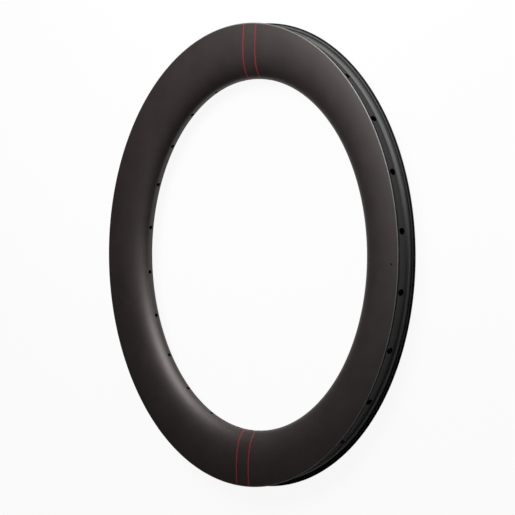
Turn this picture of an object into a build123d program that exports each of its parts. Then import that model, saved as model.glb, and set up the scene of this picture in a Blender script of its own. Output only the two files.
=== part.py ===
"""Deep-section hollow bicycle rim, lying flat with its axle on +Z and its visible face up."""
import os
from math import atan2, cos, radians, sin, tan

from build123d import *

# Tyre bed, in millimetres
bead_diameter = 622.0
flange_height = 5.5
inner_width = 24.8
flange_wall = 3.05
flange_bevel = 1.1
hook_depth = 0.6
hook_height = 1.9
shoulder_width = 5.0
well_depth = 3.1
well_floor_width = 10.0

# Sidewalls and nose
section_depth = 76.6
bulge = 1.4
widest_below_flange = 28.0
crest_radius = 8.4
crest_half_angle = 25.0
crest_fullness = 0.58
side_fullness = 0.61

# Wall thicknesses
bed_wall = 1.5
side_wall = 0.95
spoke_bed = 2.7

# Drilling, with the turn that keeps the drills' seams off the planes of symmetry
spoke_count = 24
spoke_hole_diameter = 4.8
access_hole_diameter = 8.5
valve_hole_diameter = 6.6
valve_angle = -90.0
vent_hole_diameter = 1.8
vent_angle = -0.6
vent_below_flange = 12.7
seam_turn = 22.5

# Radii and half widths of the section
seat_r = bead_diameter / 2
top_r = seat_r + flange_height
well_r = seat_r - well_depth
nose_r = top_r - section_depth
widest_r = top_r - widest_below_flange
inner_half = inner_width / 2
groove_half = inner_half + hook_depth
flange_half = inner_half + flange_wall
widest_half = flange_half + bulge
shoulder_half = groove_half - shoulder_width
floor_half = well_floor_width / 2
crest_half = crest_radius * sin(radians(crest_half_angle))
crest_r = nose_r + crest_radius * (1 - cos(radians(crest_half_angle)))
hollow_r = nose_r + spoke_bed
bed_mitre = bed_wall * tan(atan2(well_depth, shoulder_half - floor_half) / 2)
spoke_pitch = 360 / spoke_count


def draw_sides(start_r, widest, end_r, end_half):
    """On both faces, a curve from the crest to the widest point and on under the flange."""
    reach = crest_fullness * (widest - crest_half)
    for side in (1, -1):
        Bezier(
            (start_r, side * crest_half),
            (start_r + reach * tan(radians(crest_half_angle)), side * (crest_half + reach)),
            (widest_r - side_fullness * (widest_r - start_r), side * widest),
            (widest_r, side * widest),
        )
        Bezier(
            (widest_r, side * widest),
            ((widest_r + end_r) / 2, side * widest),
            (end_r, side * end_half),
        )


def both(line):
    """The upper half of a line, then its mirror image back down."""
    return [*line, *[(r, -z) for r, z in reversed(line)]]


with BuildPart() as rim:
    # Section as (radius, height)
    with BuildSketch(Plane.XZ):
        bed = [
            (top_r - flange_bevel, flange_half),
            (top_r, flange_half - flange_bevel),
            (top_r, inner_half),
            (top_r - hook_height, inner_half),
            (seat_r, groove_half),
            (seat_r, shoulder_half),
            (well_r, floor_half),
        ]
        with BuildLine():
            ThreePointArc((crest_r, -crest_half), (nose_r, 0), (crest_r, crest_half))
            draw_sides(crest_r, widest_half, *bed[0])
            Polyline(*both(bed))
        make_face()
        # Hollow between the walls
        under_bed = [
            (seat_r - bed_wall, flange_half - side_wall),
            (seat_r - bed_wall, shoulder_half + bed_mitre),
            (well_r - bed_wall, floor_half + bed_mitre),
        ]
        with BuildLine():
            Line((hollow_r, -crest_half), (hollow_r, crest_half))
            draw_sides(hollow_r, widest_half - side_wall, *under_bed[0])
            Polyline(*both(under_bed))
        make_face(mode=Mode.SUBTRACT)
    revolve(axis=Axis.Z)

    # Spoke holes through the nose and access holes through the bed, in line
    with PolarLocations(nose_r + spoke_bed / 2, spoke_count, start_angle=spoke_pitch / 2):
        Cylinder(spoke_hole_diameter / 2, 4 * spoke_bed, rotation=(0, 90, seam_turn), mode=Mode.SUBTRACT)
    with PolarLocations(well_r - bed_wall / 2, spoke_count, start_angle=spoke_pitch / 2):
        Cylinder(access_hole_diameter / 2, 6 * bed_wall, rotation=(0, 90, seam_turn), mode=Mode.SUBTRACT)

    # Valve hole through both walls, midway between two spokes
    with PolarLocations(nose_r - spoke_bed, 1, start_angle=valve_angle):
        Cylinder(
            valve_hole_diameter / 2,
            section_depth + 2 * spoke_bed,
            rotation=(0, 90, seam_turn),
            align=(Align.CENTER, Align.CENTER, Align.MIN),
            mode=Mode.SUBTRACT,
        )

    # Vent hole through the upper sidewall
    with PolarLocations(top_r - vent_below_flange, 1, start_angle=vent_angle):
        Cylinder(
            vent_hole_diameter / 2,
            2 * widest_half,
            align=(Align.CENTER, Align.CENTER, Align.MIN),
            mode=Mode.SUBTRACT,
        )

rim.part.label = "rim"
os.makedirs("parts", exist_ok=True)
export_step(rim.part, "parts/rim.step")
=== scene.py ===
"""Deep-section bicycle rim lying on a pale studio floor, dressed on its packed frame."""

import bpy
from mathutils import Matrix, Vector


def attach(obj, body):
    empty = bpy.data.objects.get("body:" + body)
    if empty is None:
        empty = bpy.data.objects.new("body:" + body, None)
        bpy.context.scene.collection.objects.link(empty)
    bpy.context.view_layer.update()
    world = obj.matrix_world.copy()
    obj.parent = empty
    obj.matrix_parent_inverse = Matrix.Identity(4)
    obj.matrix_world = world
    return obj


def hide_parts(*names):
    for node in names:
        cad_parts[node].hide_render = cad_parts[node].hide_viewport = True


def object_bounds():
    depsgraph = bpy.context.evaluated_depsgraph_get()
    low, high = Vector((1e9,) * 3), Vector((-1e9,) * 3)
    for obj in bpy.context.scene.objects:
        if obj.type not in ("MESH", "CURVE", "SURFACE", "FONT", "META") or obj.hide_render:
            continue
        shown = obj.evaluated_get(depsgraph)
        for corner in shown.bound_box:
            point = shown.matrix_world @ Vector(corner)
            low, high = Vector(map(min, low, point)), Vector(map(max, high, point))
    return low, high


bl_info = {
    "name": "Deep-section bicycle rim",
    "version": (1, 0, 0),
    "blender": (4, 5, 0),
    "location": "3D View > Sidebar > Rim",
    "description": "Builds a hollow aero rim with drilled walls, pinstripes and a small studio",
    "category": "Object",
}

from cmath import phase, rect
from math import atan2, cos, hypot, pi, radians, sin, sqrt, tan

import bmesh
import bpy
from mathutils import Matrix, Vector

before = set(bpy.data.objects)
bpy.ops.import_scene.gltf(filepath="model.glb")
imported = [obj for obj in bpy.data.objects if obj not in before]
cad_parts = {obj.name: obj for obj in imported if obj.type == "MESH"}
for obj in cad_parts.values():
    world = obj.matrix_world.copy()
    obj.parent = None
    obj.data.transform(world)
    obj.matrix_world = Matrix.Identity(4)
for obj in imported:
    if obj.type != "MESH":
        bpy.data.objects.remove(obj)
CAD_BOX = [[float(c) for c in corner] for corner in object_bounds()]

MM = 0.001
HAIR, SPECK = 1e-6, 1e-9  # tolerances in metres

# Finishes of the shell's faces, which carry their numbers; two of them are painted light, a painted
# highlight and a painted shade
FINISHES = ("Skin", "Well", "Inside", "Painted shade", "Shoulder", "Painted highlight")
SKIN, WELL, INSIDE, PAINTED_SHADE, SHOULDER, EDGE = range(len(FINISHES))

# Rounds of the section's corners, each as a share of the size named after it
BEVEL_ROUND = 1.4  # flange bevel
LIP_ROUND = 0.35  # flange wall
HOOK_ROUND = 0.4  # hook depth
GROOVE_ROUND = 0.16  # flange height
SHOULDER_ROUND = 1.2  # shoulder width
WELL_ROUND = 0.3  # well depth

# Ends of the flank and of the finishes, each as a share of the size named after it
FLANK_END = 0.3  # flange bevel, below where the bevel starts
# EDGE_START and EDGE_WIDTH bound the painted highlight; GROOVE_WIDTH bounds the painted shade in
# the groove
EDGE_START = 0.2  # flange bevel, below where the bevel starts
EDGE_WIDTH = 0.27  # flange wall, in from its outside
GROOVE_WIDTH = 0.16  # shoulder width, in from the groove's wall
WELL_RISE = 0.1  # well depth, above its floor

# Square patches round the holes
NOSE_PATCH = 0.31  # half height, as a share of the section's half width
VENT_PATCH = 1.4  # half size, in diameters of the vent

# Steps along the section's curves
CREST_STEPS, NOSE_STEPS, FLANK_STEPS, ROUND_STEPS = 24, 240, 120, 5

# Rows of faces in the nose and in the side below and above the vent
SKIN_ROWS, HOLLOW_ROWS = (18, 2, 5), (12, 2, 2)

# Rows in half of a nose patch, in a whole vent patch and in half of a bed patch
NOSE_PATCH_ROWS, VENT_PATCH_ROWS, BED_PATCH_ROWS = 4, 4, 6

# Columns in a plain cell and beside a patch, then columns in the patches
SKIN_COLS, HOLLOW_COLS = (6, 2), (2, 1)
PATCH_COLS, VENT_COLS = 8, 4

# Rings of faces round a hole, which crowd towards it where the bias is below 1
SKIN_RINGS, HOLLOW_RINGS, RING_BIAS = 4, 2, 0.8

# Joins of the cells, and the angle from which an edge is drawn sharp
CELL_MERGE, CREASE = 0.004 * MM, radians(38.0)

# Vertices of a pinstripe, where it ends below the flange top, how far it is sunk, and its joins
STRIPE_COLS, STRIPE_ROWS = 4, 180
STRIPE_END, FILM_SUNK, FILM_MERGE = 1.6 * MM, 0.5, 0.002 * MM

# Laminate: noise scales, change of the streaks round the axle, shares in shade and in relief
FIBRE_SCALE, MOTTLE_SCALE, GRAIN_SCALE, FIBRE_TURN = 1300.0, 38.0, 2600.0, 0.012
STREAK_SHADE, CLOUD_SHADE = 0.55, 0.35
STREAK_RELIEF, GRAIN_RELIEF, RELIEF_DEPTH = 0.5, 0.6, 0.02 * MM

# Studio: lamps by azimuth and elevation in degrees, and by width and height in metres
LAMP_DISTANCE = 1.3
KEY_PLACE, KEY_SIZE = (73.0, 21.5), (2.69, 0.97)
FILL_PLACE, FILL_SIZE = (100.0, 56.0), (1.10, 0.70)
ROOM_COLOUR, ROOM_LIGHT = (1.0, 0.985, 0.97, 1.0), 0.015
WHITE = (1.0, 1.0, 1.0, 1.0)
FLOOR_REACH = 40.0
FLOOR_SEEN, FLOOR_MIRRORED = 0.92, 0.3  # share of white for the camera and for reflections
SENSOR = 36.0


def length(name, description, millimetres):
    """A size in metres with its default given in millimetres."""
    return bpy.props.FloatProperty(
        name=name,
        description=description,
        default=millimetres * MM,
        min=0.0,
        precision=5,
        unit="LENGTH",
    )


def offset(name, description, millimetres):
    """The same for a place, which may be negative."""
    return bpy.props.FloatProperty(
        name=name, description=description, default=millimetres * MM, precision=5, unit="LENGTH"
    )


def share(name, description, default):
    """A value from 0 to 1."""
    return bpy.props.FloatProperty(
        name=name, description=description, default=default, min=0.0, max=1.0, subtype="FACTOR"
    )


def turn(name, description, degrees):
    """An angle with its default given in degrees."""
    return bpy.props.FloatProperty(
        name=name, description=description, default=radians(degrees), subtype="ANGLE"
    )


def power(name, description, watts):
    """The power of a lamp."""
    return bpy.props.FloatProperty(name=name, description=description, default=watts, unit="POWER")


def colour(name, description, default):
    """A linear colour."""
    return bpy.props.FloatVectorProperty(
        name=name,
        description=description,
        default=default,
        size=3,
        min=0.0,
        max=1.0,
        subtype="COLOR",
    )


class RimSection(bpy.types.PropertyGroup):
    """Sizes of the hollow section."""

    bead_diameter: length(
        "Bead diameter", "Diameter of the two shoulders that the tyre's beads sit on", 622.0
    )
    flange_height: length("Flange height", "Height of a flange above its shoulder", 5.5)
    inner_width: length("Inner width", "Clear width between the two flange lips", 24.8)
    flange_wall: length("Flange wall", "Thickness of a flange at its top", 3.05)
    flange_bevel: length("Flange bevel", "Size of the broken outer edge of a flange", 1.1)
    hook_depth: length("Hook depth", "How far the wall under a lip goes back", 0.6)
    hook_height: length("Hook height", "Height of the lip above that wall", 1.9)
    shoulder_width: length("Shoulder width", "Width of one bead shoulder", 5.0)
    well_depth: length("Well depth", "Depth of the drop centre below the shoulders", 3.1)
    well_floor: length("Well floor", "Width of the flat bottom of the drop centre", 10.0)
    depth: length("Section depth", "Depth from the flange top to the crest of the nose", 76.6)
    bulge: length(
        "Bulge", "How much wider each side is at its widest point than at the flange", 1.4
    )
    widest_below: length(
        "Widest point", "Distance of the widest point below the flange top", 28.0
    )
    crest_radius: length("Crest radius", "Radius of the nose at its crest", 8.4)
    crest_angle: turn("Crest angle", "Half of the angle that the crest's arc covers", 25.0)
    crest_fullness: share(
        "Crest fullness", "Roundness of the side where it leaves the crest", 0.58
    )
    side_fullness: share(
        "Side fullness", "Roundness of the side where it reaches its widest point", 0.61
    )
    bed_wall: length("Bed wall", "Thickness of the tyre bed", 1.5)
    side_wall: length("Side wall", "Thickness of the sidewalls", 0.95)
    spoke_bed: length("Spoke bed", "Thickness at the crest of the nose", 2.7)


class RimDrilling(bpy.types.PropertyGroup):
    """Holes in the two walls."""

    spokes: bpy.props.IntProperty(
        name="Spokes", description="Number of spoke holes", default=24, min=8, max=48
    )
    spoke_hole: length("Spoke hole", "Diameter of the holes in the nose", 4.8)
    access_hole: length("Access hole", "Diameter of the holes in the tyre bed", 8.5)
    valve_hole: length("Valve hole", "Diameter of the valve hole in both walls", 6.6)
    vent_hole: length("Vent hole", "Diameter of the vent in the upper sidewall", 1.8)
    vent_below: length("Vent place", "Distance of the vent below the flange top", 12.7)
    vent_turn: turn("Vent turn", "Angle of the vent from +X", -0.6)
    edge_break: length("Edge break", "Small chamfer round each drilled hole", 0.4)
    vent_break: length("Vent break", "Chamfer round the vent", 0.65)


class RimStripes(bpy.types.PropertyGroup):
    """Thin pinstripe films laid across the section."""

    spacing: length("Spacing", "Distance between the two stripes of a pair", 26.0)
    shift: offset("Shift", "Sideways place of each pair along +X", -2.0)
    width: length("Width", "Width of one stripe", 2.2)
    film: length("Film", "Thickness of the stripe film", 0.05)
    red: colour("Stripe colour", "Colour of the stripes", (0.21, 0.016, 0.020))


class RimFinish(bpy.types.PropertyGroup):
    """Colours and gloss of the laminate, with a painted highlight and a painted shade."""

    carbon: colour("Satin carbon", "Colour of the finished outer skin", (0.0100, 0.0064, 0.0060))
    sheen: colour("Sheen", "Tint of the skin's reflections", (1.0, 0.92, 0.90))
    raw: colour("Bare laminate", "Colour of the tyre bed", (0.0165, 0.0165, 0.0168))
    # Painted highlight: a light grey on the flanges' outer edges and on the walls under the lips
    edge: colour("Flange edges", "Colour of the painted highlight on the flanges' edges and walls", (0.09, 0.09, 0.09))
    # Painted shade: near black on the bead grooves, the lips, the inner flange tops and the vent's
    # chamfer
    groove: colour(
        "Grooves", "Painted shade over the bead grooves, the lips and the flanges' tops", (0.003, 0.003, 0.003)
    )
    inside: colour(
        "Hollow", "Colour of the inside and of the drilled edges", (0.005, 0.005, 0.005)
    )
    satin: share("Satin roughness", "Roughness of the finished skin", 0.48)
    raw_roughness: share("Bed roughness", "Roughness of the tyre bed", 0.48)


class RimStudio(bpy.types.PropertyGroup):
    """Floor, lamps and camera."""

    floor: colour("Floor", "Colour of the floor", (0.70, 0.70, 0.70))
    light: colour("Lamp colour", "Colour of the two lamps", (1.0, 0.99, 0.985))
    key: power("Key lamp", "Power of the low, wide panel", 20.5)
    fill: power("Fill lamp", "Power of the high lamp", 17.9)
    yaw: turn("Camera yaw", "Angle between the wheel's axle and the view, sideways", 51.25)
    pitch: turn("Camera pitch", "Angle between the wheel's axle and the view, upwards", 2.811)
    roll: turn("Camera roll", "Turn of the picture", -1.882)
    spin: turn("Camera spin", "Turn of the rim about its axle in the picture", 1.594)
    distance: length(
        "Camera distance", "Distance of the camera from the wheel's centre", 5802.0
    )
    aside: offset("Camera aside", "Place of the wheel's centre right of the picture's", -2.051)
    above: offset("Camera above", "Place of the wheel's centre above the picture's", 3.642)
    lens: bpy.props.FloatProperty(
        name="Lens",
        description="Focal length on a 36 mm sensor",
        default=296.873,
        unit="CAMERA",
        subtype="DISTANCE_CAMERA",
    )


# Section of the rim


def between(a, b, fraction):
    return tuple(p + fraction * (q - p) for p, q in zip(a, b))


def bezier(points, count):
    """Points along a Bezier curve of any order."""
    line = []
    for k in range(count + 1):
        level = list(points)
        while len(level) > 1:
            level = [between(a, b, k / count) for a, b in zip(level, level[1:])]
        line.append(level[0])
    return line


def rounded(corners, radii):
    """A polyline whose inner corners are arcs, or stay corners where the radius is 0."""
    line = [corners[0]]
    for before, corner, after, radius in zip(corners, corners[1:], corners[2:], radii):
        if not radius:
            line.append(corner)
            continue
        c = complex(*corner)
        a, b = complex(*before) - c, complex(*after) - c
        a, b = a / abs(a), b / abs(b)
        half = abs(phase(b / a)) / 2
        centre = c + (a + b) / abs(a + b) * radius / sin(half)
        start, end = c + a * radius / tan(half) - centre, c + b * radius / tan(half) - centre
        for k in range(ROUND_STEPS + 1):
            spot = centre + start * rect(1.0, phase(end / start) * k / ROUND_STEPS)
            line.append((spot.real, spot.imag))
    return line + [corners[-1]]


def evened(line, count):
    """The same line as equal steps."""
    run = [0.0]
    for a, b in zip(line, line[1:]):
        run.append(run[-1] + hypot(b[0] - a[0], b[1] - a[1]))
    out, seg = [], 0
    for k in range(count + 1):
        at = run[-1] * k / count
        while seg < len(run) - 2 and run[seg + 1] < at:
            seg += 1
        fraction = (at - run[seg]) / (run[seg + 1] - run[seg])
        out.append(between(line[seg], line[seg + 1], fraction))
    return out


def looked_up(line, key, value, at):
    """Coordinate `value` of the line where coordinate `key` equals `at`."""
    for a, b in zip(line, line[1:]):
        low, high = sorted((a[key], b[key]))
        if low != high and low - SPECK <= at <= high + SPECK:
            return between(a, b, (at - a[key]) / (b[key] - a[key]))[value]
    raise ValueError("the section doesn't reach that place")


def radius_at(line, z):
    return looked_up(line, 1, 0, z)


def height_at(line, r):
    return looked_up(line, 0, 1, r)


class Section:
    """Upper half of the section as (radius, height) lines, for the skin and for the hollow."""

    def __init__(self, s, d):
        self.seat = s.bead_diameter / 2
        self.top = self.seat + s.flange_height
        self.well = self.seat - s.well_depth
        self.nose = self.top - s.depth
        self.widest = self.top - s.widest_below
        inner = s.inner_width / 2
        groove = inner + s.hook_depth
        flange = inner + s.flange_wall
        self.half = flange + s.bulge
        shoulder, floor = groove - s.shoulder_width, s.well_floor / 2

        # Nose: an arc at the crest and a curve to the widest point, then the flank
        bevel_r = self.top - s.flange_bevel
        turns = [s.crest_angle * k / CREST_STEPS for k in range(CREST_STEPS + 1)]
        radius = s.crest_radius
        arc = [(self.nose + radius * (1 - cos(t)), radius * sin(t)) for t in turns]
        curve, flank = self.sides(s, arc[-1], self.half, (bevel_r, flange))
        self.nose_line = arc[:-1] + curve
        self.flank_line = [p for p in flank if p[0] < bevel_r - FLANK_END * s.flange_bevel]

        # Limits of the finishes, the painted highlight and the painted shade among them
        groove_round = GROOVE_ROUND * s.flange_height
        # Where the painted highlight starts on the flank, and how far in it reaches over the flange
        # top; inside that the flange top has the painted shade
        self.edge = bevel_r - EDGE_START * s.flange_bevel
        self.edge_half = flange - EDGE_WIDTH * s.flange_wall
        # The wall under each lip, between groove_top and lip, has the painted highlight; the
        # painted shade reaches along the shoulder as far in as groove_half
        self.lip = self.top - s.hook_height
        self.groove_top = self.seat + groove_round
        self.groove_half = groove - GROOVE_WIDTH * s.shoulder_width

        # The flank carried on to the flange top and down into the well, with softened corners
        corner = flange - 2 * s.bulge * s.flange_bevel / (bevel_r - self.widest)
        self.edge_line = rounded(
            (
                self.flank_line[-1],
                (self.top, corner),
                (self.top, inner),
                (self.lip, inner),
                (self.seat, groove),
                (self.seat, self.groove_half),
                (self.seat, shoulder),
                (self.well, floor),
                (self.well, 0.0),
            ),
            (
                BEVEL_ROUND * s.flange_bevel,
                LIP_ROUND * s.flange_wall,
                HOOK_ROUND * s.hook_depth,
                groove_round,
                0.0,
                SHOULDER_ROUND * s.shoulder_width,
                WELL_ROUND * s.well_depth,
            ),
        )

        # Hollow: the same curves set in by the wall, then the underside of the bed
        mitre = s.bed_wall * tan(atan2(s.well_depth, shoulder - floor) / 2)
        hollow_r = self.nose + s.spoke_bed
        bed_r, under_r = self.seat - s.bed_wall, self.well - s.bed_wall
        land, end = (hollow_r, arc[-1][1]), (bed_r, flange - s.side_wall)
        curve, self.cavity_side_line = self.sides(s, land, self.half - s.side_wall, end)
        self.cavity_nose_line = [(hollow_r, 0.0)] + curve
        self.cavity_bed_line = [
            self.cavity_side_line[-1],
            (bed_r, shoulder + mitre),
            (under_r, floor + mitre),
            (under_r, 0.0),
        ]

        # Square patches round the holes: half sizes in height, and for the vent in radius
        access = d.access_hole / 2 + d.edge_break
        self.bed_patch = (access + floor) / 2
        self.nose_patch = NOSE_PATCH * self.half
        self.vent_r = self.top - d.vent_below
        self.vent_patch = VENT_PATCH * d.vent_hole
        self.patch_turn = self.bed_patch / self.well

    def sides(self, s, start, widest, end):
        """Curves from the crest to the widest point, and from there to the end at the flange."""
        reach = s.crest_fullness * (widest - start[1])
        leave = (start[0] + reach * tan(s.crest_angle), start[1] + reach)
        arrive = (self.widest - s.side_fullness * (self.widest - start[0]), widest)
        top = (self.widest, widest)
        middle = ((self.widest + end[0]) / 2, widest)
        nose = bezier((start, leave, arrive, top), NOSE_STEPS)
        return nose, bezier((top, middle, end), FLANK_STEPS)

    def zone(self, r, z):
        """Number of the finish at a place on the outer surface, painted highlight and painted shade
        among them.
        """
        if r < self.well - MM or (z > self.edge_half and r < self.edge):
            return SKIN
        # Painted highlight: the outer part of the flanges, and the walls under the lips
        if z > self.edge_half or self.groove_top < r < self.lip:
            return EDGE
        # Painted shade: the inner part of the flange tops, the lips and the bead grooves
        if z > self.groove_half:
            return PAINTED_SHADE
        return WELL if r < self.well + WELL_RISE * (self.seat - self.well) else SHOULDER

    def lines(self, cavity):
        """Lines of the nose, the side and the bed."""
        if cavity:
            return self.cavity_nose_line, self.cavity_side_line, self.cavity_bed_line
        return self.nose_line, self.flank_line, self.edge_line

    def rows(self, cavity):
        """The whole closed loop of rows, nose first, with the row numbers of the patches."""
        nose, side, bed = self.lines(cavity)
        nose_rows, below_rows, above_rows = HOLLOW_ROWS if cavity else SKIN_ROWS
        heights = [self.nose_patch * k / NOSE_PATCH_ROWS for k in range(NOSE_PATCH_ROWS + 1)]
        rows = [(radius_at(nose, z), z) for z in heights]
        beyond = [rows[-1]] + [p for p in nose if p[1] > self.nose_patch]
        rows += evened(beyond, nose_rows)[1:]

        low, high = self.vent_r - self.vent_patch, self.vent_r + self.vent_patch
        below = [p for p in side if p[0] < low] + [(low, height_at(side, low))]
        rows += evened(below, below_rows)[1:]
        vent_from = len(rows) - 1
        for k in range(1, VENT_PATCH_ROWS + 1):
            r = low + (high - low) * k / VENT_PATCH_ROWS
            rows.append((r, height_at(side, r)))
        rows += evened([rows[-1]] + [p for p in side if p[0] > high], above_rows)[1:]

        rows += [p for p in bed[1:] if p[1] > self.bed_patch + HAIR]
        bed_from = len(rows)
        bed_end = [p for p in bed if p[1] < self.half / 2 or p[0] < self.seat]
        for k in range(BED_PATCH_ROWS, -1, -1):
            z = self.bed_patch * k / BED_PATCH_ROWS
            rows.append((radius_at(bed_end, z), z))
        loop = rows + [(r, -z) for r, z in reversed(rows[1:-1])]
        patches = {
            "nose": range(-NOSE_PATCH_ROWS, NOSE_PATCH_ROWS + 1),
            "vent": range(vent_from, vent_from + VENT_PATCH_ROWS + 1),
            "bed": range(bed_from, bed_from + 2 * BED_PATCH_ROWS + 1),
        }
        return loop, patches

    def across(self, cavity):
        """Functions for the nose's and the bed's radius at a height, and the side's height."""
        nose, side, bed = self.lines(cavity)
        if not cavity:
            bed = [p for p in bed if p[1] < self.half / 2]
        return (
            lambda z: radius_at(nose, abs(z)),
            lambda z: radius_at(bed, abs(z)),
            lambda r: height_at(side, r),
        )


# One cell of the rim, with or without drilling


def radial_hole(wall):
    """Maps from a place (sideways, height) in a radial hole to a point on its wall, and back."""

    def point(t, z, lift=0.0):
        return Vector((sqrt(wall(z) ** 2 - t * t) + lift, t, z))

    def place(v):
        return v.y, v.z

    return point, place


def upright_hole(wall, centre, turned):
    """The same for a hole through the upper sidewall, along the axle."""

    def point(t, q, lift=0.0):
        x, y = centre + q, t
        z = wall(hypot(x, y)) + lift
        return Vector((x * cos(turned) - y * sin(turned), x * sin(turned) + y * cos(turned), z))

    def place(v):
        sideways = v.y * cos(turned) - v.x * sin(turned)
        return sideways, v.x * cos(turned) + v.y * sin(turned) - centre

    return point, place


def ringed(bm, border, point, place, radius, rings):
    """Rings of vertices from a patch's border to a round hole, all on the surface."""
    around = []
    for v in border:
        t, q = place(v.co)
        around.append((t, q, atan2(q, t)))
    loops = [border]
    for k in range(1, rings + 1):
        f = (k / rings) ** RING_BIAS
        loop = []
        for t, q, angle in around:
            ct, cq = radius * cos(angle), radius * sin(angle)
            loop.append(bm.verts.new(point(t + f * (ct - t), q + f * (cq - q))))
        loops.append(loop)
    return loops, [angle for _, _, angle in around]


def banded(bm, first, second, zone, layer):
    """A closed band of quads from one loop to the next."""
    n = len(first)
    for k in range(n):
        face = bm.faces.new((first[k], second[k], second[(k + 1) % n], first[(k + 1) % n]))
        face[layer] = zone


def grid(bm, loop, turns, skip, flip, zones, layer):
    """The closed section loop swept over the turns, without the faces of the skipped patches.

    Returns the border of each patch as a loop of vertices.
    """
    verts = {}

    def vert(i, j):
        i %= len(loop)
        if (i, j) not in verts:
            r, z = loop[i]
            verts[i, j] = bm.verts.new((r * cos(turns[j]), r * sin(turns[j]), z))
        return verts[i, j]

    holes = {(i % len(loop), j) for rows, cols in skip for i in rows[:-1] for j in cols[:-1]}
    for i in range(len(loop)):
        for j in range(len(turns) - 1):
            if (i, j) in holes:
                continue
            corners = [vert(i, j), vert(i + 1, j), vert(i + 1, j + 1), vert(i, j + 1)]
            face = bm.faces.new(corners[::-1] if flip else corners)
            face[layer] = zones[i]
    borders = []
    for rows, cols in skip:
        low, high = cols[0], cols[-1]
        border = [vert(rows[0], j) for j in cols]
        border += [vert(i, high) for i in rows[1:]]
        border += [vert(rows[-1], j) for j in reversed(cols[:-1])]
        border += [vert(i, low) for i in reversed(rows[1:-1])]
        borders.append(border)
    return borders


def steps_between(start, end, count):
    return [start + (end - start) * k / count for k in range(count)]


def cell_mesh(name, section, drilling, half_turn, kind):
    """A slice of the hollow rim, half_turn to each side of +X: plain, spoke, valve or vent."""
    bm = bmesh.new()
    layer = bm.faces.layers.int.new("zone")
    if kind == "vent":
        mid, patch = drilling.vent_turn, section.vent_patch / section.vent_r
        chamfer, cols, drilled = drilling.vent_break, VENT_COLS, ("vent",)
    else:
        mid, patch = 0.0, section.patch_turn
        chamfer, cols, drilled = drilling.edge_break, PATCH_COLS, ("nose", "bed")
    borders = {}
    for cavity in (False, True):
        loop, patches = section.rows(cavity)
        plain_cols, side_cols = HOLLOW_COLS if cavity else SKIN_COLS
        if kind == "plain":
            turns = steps_between(-half_turn, half_turn, plain_cols)
            skip = []
        else:
            turns = steps_between(-half_turn, mid - patch, side_cols)
            turns += steps_between(mid - patch, mid + patch, cols)
            turns += steps_between(mid + patch, half_turn, side_cols)
            skip = [(patches[k], range(side_cols, side_cols + cols + 1)) for k in drilled]
        turns.append(half_turn)
        zones = []
        for (r, z), (r2, z2) in zip(loop, loop[1:] + loop[:1]):
            zones.append(INSIDE if cavity else section.zone((r + r2) / 2, abs(z + z2) / 2))
        borders[cavity] = grid(bm, loop, turns, skip, cavity, zones, layer)

    # Each hole: its maps on the skin and on the hollow, its diameter and the way into the wall
    outer, inner = section.across(False), section.across(True)
    holes = []
    if kind == "vent":
        maps = [upright_hole(walls[2], section.vent_r, mid) for walls in (outer, inner)]
        holes = [(*maps, drilling.vent_hole, -1)]
    elif kind != "plain":
        nose = drilling.valve_hole if kind == "valve" else drilling.spoke_hole
        bed = drilling.valve_hole if kind == "valve" else drilling.access_hole
        holes = [
            (radial_hole(outer[0]), radial_hole(inner[0]), nose, 1),
            (radial_hole(outer[1]), radial_hole(inner[1]), bed, -1),
        ]
    for k, (skin, hollow, diameter, into) in enumerate(holes):
        r = diameter / 2
        around = SKIN if kind == "vent" or into > 0 else WELL
        loops, angles = ringed(bm, borders[False][k], *skin, r + chamfer, SKIN_RINGS)
        for a, b in zip(loops, loops[1:]):
            banded(bm, a, b, around, layer)
        throat = [bm.verts.new(skin[0](r * cos(a), r * sin(a), into * chamfer)) for a in angles]
        # The vent's chamfer has the painted shade; the other holes' chamfers have the hollow's
        # colour
        banded(bm, loops[-1], throat, PAINTED_SHADE if kind == "vent" else INSIDE, layer)
        back = ringed(bm, borders[True][k], *hollow, r, HOLLOW_RINGS)[0][::-1]
        for a, b in zip([throat] + back, back):
            banded(bm, a, b, INSIDE, layer)
    mesh = bpy.data.meshes.new(name)
    bm.to_mesh(mesh)
    bm.free()
    return mesh


# Node trees


def put(tree, kind, feeds=None, **settings):
    """A new node with its settings, and its inputs set or linked."""
    node = tree.nodes.new(kind)
    for key, value in settings.items():
        setattr(node, key, value)
    for key, value in (feeds or {}).items():
        socket = node.inputs[key]
        if isinstance(value, bpy.types.NodeSocket):
            tree.links.new(value, socket)
        else:
            socket.default_value = value
    return node


def calc(tree, operation, *values):
    """The result of a new math node."""
    return put(tree, "ShaderNodeMath", dict(enumerate(values)), operation=operation).outputs[0]


def geometry_tree(name, inputs):
    """A geometry tree with named inputs, its inputs' sockets and its output node."""
    tree = bpy.data.node_groups.new(name, "GeometryNodeTree")
    tree.interface.new_socket("Geometry", in_out="INPUT", socket_type="NodeSocketGeometry")
    for socket, kind in inputs:
        tree.interface.new_socket(socket, in_out="INPUT", socket_type="NodeSocket" + kind)
    tree.interface.new_socket("Geometry", in_out="OUTPUT", socket_type="NodeSocketGeometry")
    return tree, tree.nodes.new("NodeGroupInput").outputs, tree.nodes.new("NodeGroupOutput")


def made(name, tree, values):
    """An object with the result of a geometry tree as its plain mesh."""
    piece = bpy.data.objects.new(name, bpy.data.meshes.new(name + "_seed"))
    bpy.context.collection.objects.link(piece)
    modifier = piece.modifiers.new(name, "NODES")
    modifier.node_group = tree
    for item in tree.interface.items_tree:
        if item.in_out == "INPUT" and item.name in values:
            modifier[item.identifier] = values[item.name]
    graph = bpy.context.evaluated_depsgraph_get()
    mesh = bpy.data.meshes.new_from_object(piece.evaluated_get(graph), depsgraph=graph)
    piece.modifiers.clear()
    seed, piece.data = piece.data, mesh
    mesh.name = name
    bpy.data.meshes.remove(seed)
    return piece


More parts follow.
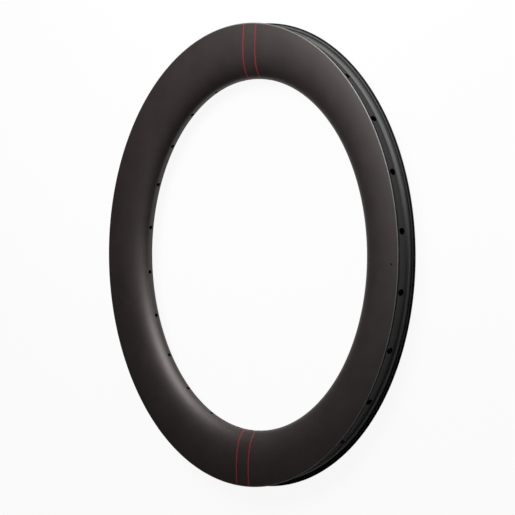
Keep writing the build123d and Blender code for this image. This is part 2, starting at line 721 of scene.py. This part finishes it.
def ring_tree():
    """Sets the cells round the axle: drilled at odd places, the valve and the vent at their own."""
    cells = ("Plain cell", "Spoke cell", "Valve cell", "Vent cell")
    tree, given, out = geometry_tree(
        "Rim from cells",
        [
            *((cell, "Object") for cell in cells),
            *((number, "Int") for number in ("Places", "Valve place", "Vent place")),
            *((size, "Float") for size in ("Merge", "Sharp")),
            *((finish, "Material") for finish in FINISHES),
        ],
    )
    index = put(tree, "GeometryNodeInputIndex").outputs[0]
    points = put(tree, "GeometryNodePoints", {"Count": given["Places"]}).outputs[0]
    step = calc(tree, "DIVIDE", 2 * pi, given["Places"])
    spin = put(tree, "ShaderNodeCombineXYZ", {"Z": calc(tree, "MULTIPLY", index, step)}).outputs[0]
    odd = calc(tree, "MODULO", index, 2.0)
    half_a_place = 0.5
    valve = calc(tree, "COMPARE", index, given["Valve place"], half_a_place)
    vent = calc(tree, "COMPARE", index, given["Vent place"], half_a_place)
    taken = calc(tree, "MAXIMUM", odd, calc(tree, "MAXIMUM", valve, vent))
    plain = calc(tree, "SUBTRACT", 1.0, taken)
    join = put(tree, "GeometryNodeJoinGeometry")
    for cell, chosen in zip(cells, (plain, odd, valve, vent)):
        shape = put(tree, "GeometryNodeObjectInfo", {"Object": given[cell]}).outputs["Geometry"]
        feeds = {"Points": points, "Instance": shape, "Selection": chosen, "Rotation": spin}
        placed = put(tree, "GeometryNodeInstanceOnPoints", feeds).outputs[0]
        tree.links.new(placed, join.inputs[0])
    whole = put(tree, "GeometryNodeRealizeInstances", {0: join.outputs[0]}).outputs[0]
    feeds = {"Geometry": whole, "Distance": given["Merge"]}
    whole = put(tree, "GeometryNodeMergeByDistance", feeds).outputs[0]

    # Smooth faces, sharp creases
    feeds = {0: whole, "Shade Smooth": True}
    whole = put(tree, "GeometryNodeSetShadeSmooth", feeds, domain="FACE").outputs[0]
    bend = put(tree, "GeometryNodeInputMeshEdgeAngle").outputs["Unsigned Angle"]
    feeds = {0: bend, 1: given["Sharp"]}
    creased = put(tree, "FunctionNodeCompare", feeds, operation="GREATER_THAN").outputs[0]
    feeds = {0: whole, "Selection": creased, "Shade Smooth": False}
    whole = put(tree, "GeometryNodeSetShadeSmooth", feeds, domain="EDGE").outputs[0]

    # A finish for each zone, the painted highlight and the painted shade among them, which sockets
    # 2 and 3 compare as whole numbers
    zone = put(tree, "GeometryNodeInputNamedAttribute", {"Name": "zone"}, data_type="INT")
    for number, finish in enumerate(FINISHES):
        feeds = {2: zone.outputs[0], 3: number}
        here = put(tree, "FunctionNodeCompare", feeds, data_type="INT", operation="EQUAL")
        feeds = {"Geometry": whole, "Selection": here.outputs[0], "Material": given[finish]}
        whole = put(tree, "GeometryNodeSetMaterial", feeds).outputs[0]
    tree.links.new(whole, out.inputs[0])
    return tree


def stripe_tree():
    """One pinstripe film, at a fixed sideways place, that follows the section over the nose."""
    sizes = ("Aside", "Width", "Film", "Turn")
    tree, given, out = geometry_tree(
        "Pinstripe", [("Path", "Object"), *((size, "Float") for size in sizes)]
    )
    path = put(tree, "GeometryNodeObjectInfo", {"Object": given["Path"]}).outputs["Geometry"]
    feeds = {"Size X": 1.0, "Size Y": 1.0, "Vertices X": STRIPE_COLS, "Vertices Y": STRIPE_ROWS}
    sheet = put(tree, "GeometryNodeMeshGrid", feeds).outputs["Mesh"]
    spot = put(tree, "GeometryNodeInputPosition").outputs[0]
    at = put(tree, "ShaderNodeSeparateXYZ", {0: spot}).outputs
    feeds = {"Curves": path, "Factor": calc(tree, "ADD", at[1], 0.5)}
    section = put(tree, "GeometryNodeSampleCurve", feeds, mode="FACTOR").outputs
    spot = put(tree, "ShaderNodeSeparateXYZ", {0: section["Position"]}).outputs
    run = put(tree, "ShaderNodeSeparateXYZ", {0: section["Tangent"]}).outputs

    # The film starts below the skin, so that no gap shows under it
    sunk = calc(tree, "MULTIPLY", given["Film"], FILM_SUNK)
    radius = calc(tree, "ADD", spot[0], calc(tree, "MULTIPLY", run[2], sunk))
    height = calc(tree, "SUBTRACT", spot[2], calc(tree, "MULTIPLY", run[0], sunk))
    x = calc(tree, "MULTIPLY_ADD", at[0], given["Width"], given["Aside"])
    squares = [calc(tree, "POWER", side, 2.0) for side in (radius, x)]
    y = calc(tree, "SQRT", calc(tree, "SUBTRACT", *squares))
    place = put(tree, "ShaderNodeCombineXYZ", {0: x, 1: y, 2: height}).outputs[0]
    feeds = {"Geometry": sheet, "Position": place}
    laid = put(tree, "GeometryNodeSetPosition", feeds).outputs[0]
    feeds = {"Mesh": laid, "Offset Scale": given["Film"], "Individual": False}
    raised = put(tree, "GeometryNodeExtrudeMesh", feeds).outputs[0]
    under = put(tree, "GeometryNodeFlipFaces", {0: laid}).outputs[0]
    join = put(tree, "GeometryNodeJoinGeometry")
    tree.links.new(raised, join.inputs[0])
    tree.links.new(under, join.inputs[0])
    feeds = {"Geometry": join.outputs[0], "Distance": FILM_MERGE}
    whole = put(tree, "GeometryNodeMergeByDistance", feeds).outputs[0]
    spin = put(tree, "ShaderNodeCombineXYZ", {"Z": given["Turn"]}).outputs[0]
    whole = put(tree, "GeometryNodeTransform", {"Geometry": whole, "Rotation": spin}).outputs[0]
    tree.links.new(whole, out.inputs[0])
    return tree


def stripes_tree(stripe):
    """Two pairs of pinstripes, one on each end of the Y axis."""
    sizes = ("Spacing", "Shift", "Width", "Film")
    tree, given, out = geometry_tree(
        "Pinstripe pairs",
        [("Path", "Object"), *((size, "Float") for size in sizes), ("Material", "Material")],
    )
    join = put(tree, "GeometryNodeJoinGeometry")
    back = calc(tree, "MULTIPLY", given["Shift"], -1.0)
    for turned, shift in ((0.0, given["Shift"]), (pi, back)):
        for side in (-0.5, 0.5):
            feeds = {
                "Path": given["Path"],
                "Aside": calc(tree, "MULTIPLY_ADD", given["Spacing"], side, shift),
                "Width": given["Width"],
                "Film": given["Film"],
                "Turn": turned,
            }
            one = put(tree, "GeometryNodeGroup", feeds, node_tree=stripe)
            tree.links.new(one.outputs[0], join.inputs[0])
    whole = put(tree, "GeometryNodeRealizeInstances", {0: join.outputs[0]}).outputs[0]
    feeds = {"Geometry": whole, "Material": given["Material"]}
    whole = put(tree, "GeometryNodeSetMaterial", feeds).outputs[0]
    tree.links.new(whole, out.inputs[0])
    return tree


# Materials


def laminate_group():
    """Fibre streaks that run round the axle, soft mottling and a fine resin texture."""
    tree = bpy.data.node_groups.new("Laminate", "ShaderNodeTree")
    tree.interface.new_socket("Contrast", in_out="INPUT", socket_type="NodeSocketFloat")
    for name in ("Shade", "Mottle", "Height"):
        tree.interface.new_socket(name, in_out="OUTPUT", socket_type="NodeSocketFloat")
    contrast = tree.nodes.new("NodeGroupInput").outputs["Contrast"]
    out = tree.nodes.new("NodeGroupOutput")
    spot = put(tree, "ShaderNodeTexCoord").outputs["Object"]
    at = put(tree, "ShaderNodeSeparateXYZ", {0: spot}).outputs
    flat = put(tree, "ShaderNodeCombineXYZ", {0: at[0], 1: at[1]}).outputs[0]
    radius = put(tree, "ShaderNodeVectorMath", {0: flat}, operation="LENGTH").outputs["Value"]
    around = put(tree, "ShaderNodeVectorMath", {0: flat}, operation="NORMALIZE").outputs[0]
    way = put(tree, "ShaderNodeSeparateXYZ", {0: around}).outputs
    slow = [calc(tree, "MULTIPLY", way[k], FIBRE_TURN) for k in range(2)]
    across = put(tree, "ShaderNodeCombineXYZ", {0: radius, 1: at[2], 2: slow[0]}).outputs[0]
    feeds = {
        "Vector": across,
        "W": slow[1],
        "Scale": FIBRE_SCALE,
        "Detail": 3.0,
        "Roughness": 0.6,
    }
    fibre = put(tree, "ShaderNodeTexNoise", feeds, noise_dimensions="4D").outputs[0]
    feeds = {"Vector": spot, "Scale": MOTTLE_SCALE, "Detail": 4.0, "Roughness": 0.55}
    mottle = put(tree, "ShaderNodeTexNoise", feeds).outputs[0]
    feeds = {"Vector": spot, "Scale": GRAIN_SCALE, "Detail": 1.0}
    grain = put(tree, "ShaderNodeTexNoise", feeds).outputs[0]
    streak, cloud = (
        calc(tree, "MULTIPLY", calc(tree, "SUBTRACT", noise, 0.5), contrast)
        for noise in (fibre, mottle)
    )

    def mixed(a, a_share, b, b_share):
        parts = calc(tree, "MULTIPLY", a, a_share), calc(tree, "MULTIPLY", b, b_share)
        return calc(tree, "ADD", *parts)

    shade = calc(tree, "ADD", 1.0, mixed(streak, STREAK_SHADE, cloud, CLOUD_SHADE))
    height = mixed(streak, STREAK_RELIEF, grain, GRAIN_RELIEF)
    for socket, value in (("Shade", shade), ("Mottle", cloud), ("Height", height)):
        tree.links.new(value, out.inputs[socket])
    return tree


def laminate_material(
    name, group, colour_, roughness, *, spread, contrast, bump, specular, sheen=WHITE[:3]
):
    """A laminate finish; spread is how far the mottling changes its roughness."""
    material = bpy.data.materials.new(name)
    material.use_nodes = True
    tree = material.node_tree
    bsdf = next(n for n in tree.nodes if n.type == "BSDF_PRINCIPLED")
    bsdf.inputs["Specular IOR Level"].default_value = specular
    bsdf.inputs["Specular Tint"].default_value = (*sheen, 1.0)
    skin = put(tree, "ShaderNodeGroup", {"Contrast": contrast}, node_tree=group).outputs

    # Sockets 6, 7 and 2 of a mix node are its two colours and their result
    feeds = {"Factor": 1.0, 6: (*colour_, 1.0), 7: skin["Shade"]}
    tint = put(tree, "ShaderNodeMix", feeds, data_type="RGBA", blend_type="MULTIPLY").outputs[2]
    tree.links.new(tint, bsdf.inputs["Base Color"])
    gloss = calc(tree, "MULTIPLY_ADD", skin["Mottle"], spread, roughness)
    tree.links.new(gloss, bsdf.inputs["Roughness"])
    feeds = {"Strength": bump, "Distance": RELIEF_DEPTH, "Height": skin["Height"]}
    tree.links.new(put(tree, "ShaderNodeBump", feeds).outputs[0], bsdf.inputs["Normal"])
    material.diffuse_color = (*colour_, 1.0)
    return material


def floor_material(name, pale):
    """A pale floor that keeps the object's shadow.

    The camera sees it almost as white, and reflections and glass see some of that white.
    """
    material = bpy.data.materials.new(name)
    material.use_nodes = True
    tree = material.node_tree
    tree.nodes.clear()
    lit = put(tree, "ShaderNodeBsdfDiffuse", {"Color": (*pale, 1.0)}).outputs[0]
    white = put(tree, "ShaderNodeEmission", {"Color": WHITE, "Strength": 1.0}).outputs[0]
    ray = put(tree, "ShaderNodeLightPath").outputs
    bounced = calc(tree, "MAXIMUM", ray["Is Glossy Ray"], ray["Is Transmission Ray"])
    mirrored = calc(tree, "MULTIPLY", bounced, FLOOR_MIRRORED)
    seen = calc(tree, "MAXIMUM", calc(tree, "MULTIPLY", ray["Is Camera Ray"], FLOOR_SEEN), mirrored)
    mixed = put(tree, "ShaderNodeMixShader", {0: seen, 1: lit, 2: white}).outputs[0]
    tree.links.new(mixed, put(tree, "ShaderNodeOutputMaterial").inputs[0])
    return material


# Operators


class RIM_OT_shell(bpy.types.Operator):
    """Build the hollow rim with its drilled nose and tyre bed"""

    bl_idname = "rim.shell"
    bl_label = "Rim shell"

    def execute(self, context):
        scene = context.scene
        section = Section(scene.rim_section, scene.rim_drilling)
        drilling, finish = scene.rim_drilling, scene.rim_finish
        places = 2 * drilling.spokes
        cells = {}
        for kind in ("plain", "spoke", "valve", "vent"):
            mesh = cell_mesh("cell_" + kind, section, drilling, pi / places, kind)
            cells[kind] = bpy.data.objects.new("cell_" + kind, mesh)
            context.collection.objects.link(cells[kind])
        group = laminate_group()
        materials = {
            "Skin": laminate_material(
                "carbon_satin",
                group,
                finish.carbon,
                finish.satin,
                spread=0.10,
                contrast=1.0,
                bump=0.04,
                specular=0.85,
                sheen=finish.sheen,
            ),
            "Well": laminate_material(
                "carbon_well",
                group,
                finish.raw,
                finish.raw_roughness,
                spread=0.16,
                contrast=1.2,
                bump=0.4,
                specular=0.45,
            ),
            "Shoulder": laminate_material(
                "carbon_shoulder",
                group,
                finish.raw,
                finish.raw_roughness,
                spread=0.12,
                contrast=1.2,
                bump=0.2,
                specular=1.0,
            ),
            # Painted shade: near black, with little gloss
            "Painted shade": laminate_material(
                "carbon_painted_shade",
                group,
                finish.groove,
                roughness=0.6,
                spread=0.12,
                contrast=1.0,
                bump=0.2,
                specular=0.12,
            ),
            # Painted highlight: light grey and glossy
            "Painted highlight": laminate_material(
                "carbon_painted_highlight",
                group,
                finish.edge,
                roughness=0.42,
                spread=0.10,
                contrast=1.0,
                bump=0.1,
                specular=1.0,
            ),
            "Inside": laminate_material(
                "carbon_inside",
                group,
                finish.inside,
                roughness=0.6,
                spread=0.2,
                contrast=1.4,
                bump=0.6,
                specular=0.2,
            ),
        }
        shell = made(
            "rim_shell",
            ring_tree(),
            {
                "Plain cell": cells["plain"],
                "Spoke cell": cells["spoke"],
                "Valve cell": cells["valve"],
                "Vent cell": cells["vent"],
                "Places": places,
                "Valve place": places * 3 // 4,
                "Vent place": 0,
                "Merge": CELL_MERGE,
                "Sharp": CREASE,
                **materials,
            },
        )
        for cell in cells.values():
            mesh = cell.data
            bpy.data.objects.remove(cell)
            bpy.data.meshes.remove(mesh)
        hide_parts("rim")
        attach(shell, "root")
        return {"FINISHED"}


class RIM_OT_stripes(bpy.types.Operator):
    """Lay the two pairs of pinstripes across the section"""

    bl_idname = "rim.stripes"
    bl_label = "Pinstripes"

    def execute(self, context):
        scene = context.scene
        section, stripes = Section(scene.rim_section, scene.rim_drilling), scene.rim_stripes
        end = section.top - STRIPE_END
        line = section.nose_line + [p for p in section.flank_line[1:] if p[0] < end]
        line = [(r, -z) for r, z in reversed(line[1:])] + line
        curve = bpy.data.curves.new("stripe_path", "CURVE")
        curve.dimensions = "3D"
        spline = curve.splines.new("POLY")
        spline.points.add(len(line) - 1)
        for point, (r, z) in zip(spline.points, line):
            point.co = (r, 0.0, z, 1.0)
        path = bpy.data.objects.new("stripe_path", curve)
        context.collection.objects.link(path)
        red = laminate_material(
            "stripe_red",
            bpy.data.node_groups["Laminate"],
            stripes.red,
            roughness=0.42,
            spread=0.12,
            contrast=0.25,
            bump=0.15,
            specular=0.35,
        )
        films = made(
            "pinstripes",
            stripes_tree(stripe_tree()),
            {
                "Path": path,
                "Spacing": stripes.spacing,
                "Shift": stripes.shift,
                "Width": stripes.width,
                "Film": stripes.film,
                "Material": red,
            },
        )
        films.data.shade_smooth()
        bpy.data.objects.remove(path)
        bpy.data.curves.remove(curve)
        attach(films, "root")
        return {"FINISHED"}


def lamp(name, place, size, watts, tint):
    """A soft box that looks at the wheel's centre from an azimuth and elevation."""
    data = bpy.data.lights.new(name, "AREA")
    data.shape, data.size, data.size_y = "RECTANGLE", *size
    data.energy, data.color = watts, tint
    piece = bpy.data.objects.new(name, data)
    a, e = (radians(angle) for angle in place)
    away = LAMP_DISTANCE * Vector((cos(e) * cos(a), cos(e) * sin(a), sin(e)))
    facing = away.to_track_quat("Z", "Y").to_matrix().to_4x4()
    piece.matrix_world = Matrix.Translation(away) @ facing
    bpy.context.collection.objects.link(piece)


class RIM_OT_studio(bpy.types.Operator):
    """Lay the floor, set the lamps and place the camera"""

    bl_idname = "rim.studio"
    bl_label = "Studio"

    def execute(self, context):
        scene, studio = context.scene, context.scene.rim_studio
        low = CAD_BOX[0][2]
        mesh = bpy.data.meshes.new("floor")
        signs = ((-1, -1), (1, -1), (1, 1), (-1, 1))
        corners = [(x * FLOOR_REACH, y * FLOOR_REACH, low) for x, y in signs]
        mesh.from_pydata(corners, [], [(0, 1, 2, 3)])
        floor = bpy.data.objects.new("floor", mesh)
        context.collection.objects.link(floor)
        mesh.materials.append(floor_material("pale_floor", studio.floor))

        # The camera sees a white room, which lights the object only faintly
        world = bpy.data.worlds.new("studio")
        scene.world = world
        world.use_nodes = True
        tree = world.node_tree
        tree.nodes.clear()
        ray = put(tree, "ShaderNodeLightPath").outputs["Is Camera Ray"]
        feeds = {"Color": ROOM_COLOUR, "Strength": ROOM_LIGHT}
        room = put(tree, "ShaderNodeBackground", feeds).outputs[0]
        white = put(tree, "ShaderNodeBackground", {"Color": WHITE, "Strength": 1.0}).outputs[0]
        mixed = put(tree, "ShaderNodeMixShader", {0: ray, 1: room, 2: white}).outputs[0]
        tree.links.new(mixed, put(tree, "ShaderNodeOutputWorld").inputs[0])

        lamp("key", KEY_PLACE, KEY_SIZE, studio.key, studio.light)
        lamp("fill", FILL_PLACE, FILL_SIZE, studio.fill, studio.light)

        # Camera, from the wheel's place and turn as it sees them
        turned = Matrix.Rotation(studio.roll, 3, "Z") @ Matrix.Rotation(studio.pitch, 3, "X")
        turned = turned @ Matrix.Rotation(-studio.yaw, 3, "Y")
        turned = turned @ Matrix.Rotation(studio.spin, 3, "Z")
        away = Vector((studio.aside, studio.above, -studio.distance))
        back = turned.transposed()
        lens = bpy.data.cameras.new("camera")
        lens.sensor_width, lens.lens = SENSOR, studio.lens
        camera = bpy.data.objects.new("camera", lens)
        camera.matrix_world = Matrix.Translation(-(back @ away)) @ back.to_4x4()
        context.collection.objects.link(camera)
        scene.camera = camera
        scene.view_settings.view_transform = "Standard"
        return {"FINISHED"}


class RIM_PT_panel(bpy.types.Panel):
    """Sizes of the rim and the steps that build it"""

    bl_label = "Rim"
    bl_idname = "RIM_PT_panel"
    bl_space_type = "VIEW_3D"
    bl_region_type = "UI"
    bl_category = "Rim"

    def draw(self, context):
        layout = self.layout
        for name, group in GROUPS.items():
            box = layout.box()
            box.label(text=group.__doc__)
            for key in group.__annotations__:
                box.prop(getattr(context.scene, name), key)
        for operator in STEPS:
            layout.operator(operator.bl_idname)


GROUPS = {
    "rim_section": RimSection,
    "rim_drilling": RimDrilling,
    "rim_stripes": RimStripes,
    "rim_finish": RimFinish,
    "rim_studio": RimStudio,
}
STEPS = (RIM_OT_shell, RIM_OT_stripes, RIM_OT_studio)


def register():
    for cls in (*GROUPS.values(), *STEPS, RIM_PT_panel):
        bpy.utils.register_class(cls)
    for name, group in GROUPS.items():
        setattr(bpy.types.Scene, name, bpy.props.PointerProperty(type=group))


def unregister():
    for name in GROUPS:
        delattr(bpy.types.Scene, name)
    for cls in reversed((*GROUPS.values(), *STEPS, RIM_PT_panel)):
        bpy.utils.unregister_class(cls)


def main():
    register()
    bpy.ops.rim.shell()
    bpy.ops.rim.stripes()
    bpy.ops.rim.studio()


if __name__ == "__main__":
    main()
